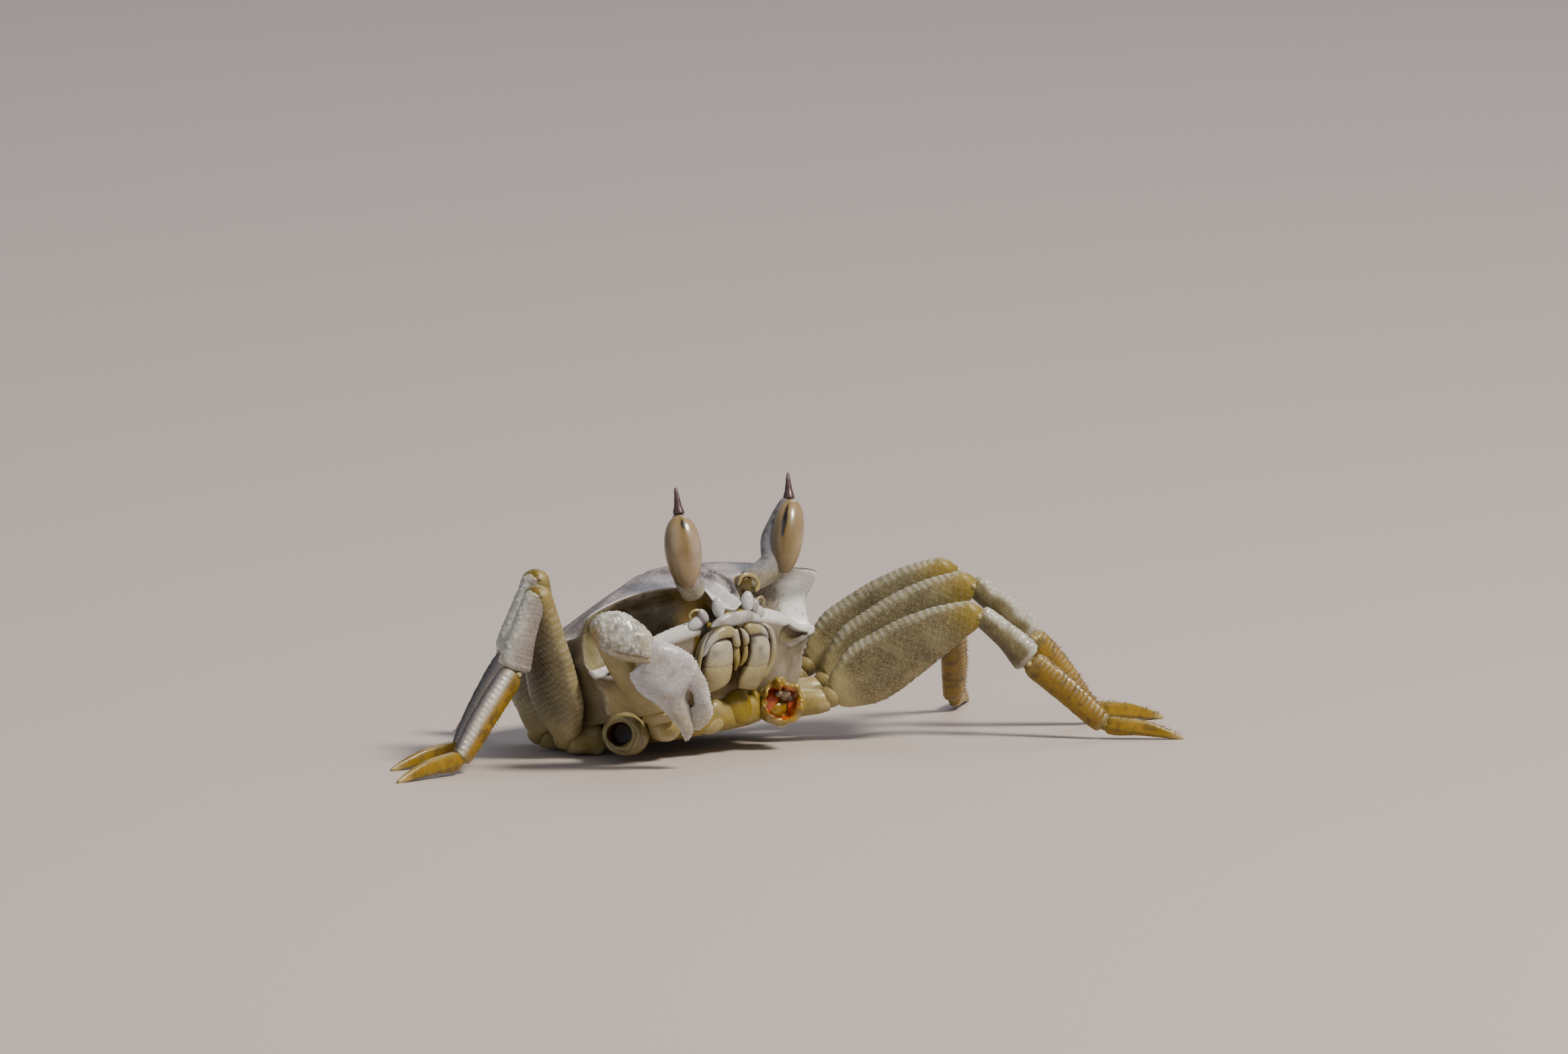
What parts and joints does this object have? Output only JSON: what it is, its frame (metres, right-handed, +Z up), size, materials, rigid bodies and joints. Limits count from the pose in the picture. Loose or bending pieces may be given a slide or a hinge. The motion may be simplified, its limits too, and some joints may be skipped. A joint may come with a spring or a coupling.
{
  "type": "horned ghost crab, life-size still model",
  "caption": "Life-size still model of a horned ghost crab crouching on bent legs, eyes raised, one claw folded in front; the other claw and one leg are stumps.",
  "frame": {"origin": "middle of the part's plan box, on the floor that it stands on", "axes": "+Z up from the floor, +X towards the crab's left, along the spread of its legs, -Y the way the crab faces"},
  "size_m": [0.1394, 0.0856, 0.0435],
  "materials": {
    "shell": "satin grey-olive crab shell with fine granules, purple-grey on the back",
    "belly": "satin cream-yellow shell of the underside and mouth",
    "limb": "satin grey-olive leg shell with bluish-white granular ridges",
    "ochre": "glossy ochre leg ends with short spines",
    "claw": "glossy whitish granular claw shell",
    "cornea": "smooth glossy peach cornea with a dark mark",
    "horn": "satin purple-brown eye horn",
    "wound": "moist orange flesh of the lost claw's stump"
  },
  "bodies": {
    "root": {"antenna_L": "claw", "antenna_R": "claw", "carapace": "shell", "claw_carpus": "claw", "claw_coxa": "belly", "claw_finger": "claw", "claw_merus": "claw", "claw_palm": "claw", "eye_L": "cornea", "eye_R": "cornea", "eyestalk_L": "shell", "eyestalk_R": "shell", "horn_L": "horn", "horn_R": "horn", "leg_L2_carpus": "limb", "leg_L2_coxa": "belly", "leg_L2_dactyl": "ochre", "leg_L2_merus": "limb", "leg_L2_propodus": "ochre", "leg_L3_carpus": "limb", "leg_L3_coxa": "belly", "leg_L3_dactyl": "ochre", "leg_L3_merus": "limb", "leg_L3_propodus": "ochre", "leg_L4_carpus": "limb", "leg_L4_coxa": "belly", "leg_L4_dactyl": "ochre", "leg_L4_merus": "limb", "leg_L4_propodus": "ochre", "leg_L5_carpus": "limb", "leg_L5_coxa": "belly", "leg_L5_dactyl": "ochre", "leg_L5_merus": "limb", "leg_L5_propodus": "ochre", "leg_R3_carpus": "limb", "leg_R3_coxa": "belly", "leg_R3_dactyl": "ochre", "leg_R3_merus": "limb", "leg_R3_propodus": "ochre", "leg_R4_carpus": "limb", "leg_R4_coxa": "belly", "leg_R4_dactyl": "ochre", "leg_R4_merus": "limb", "leg_R4_propodus": "ochre", "leg_R5_carpus": "limb", "leg_R5_coxa": "belly", "leg_R5_dactyl": "ochre", "leg_R5_merus": "limb", "leg_R5_propodus": "ochre", "maxilliped_L": "belly", "maxilliped_R": "belly", "pleon": "belly", "sternum": "belly", "stump_L1": "wound", "stump_R2": "belly"}
  },
  "joints": []
}
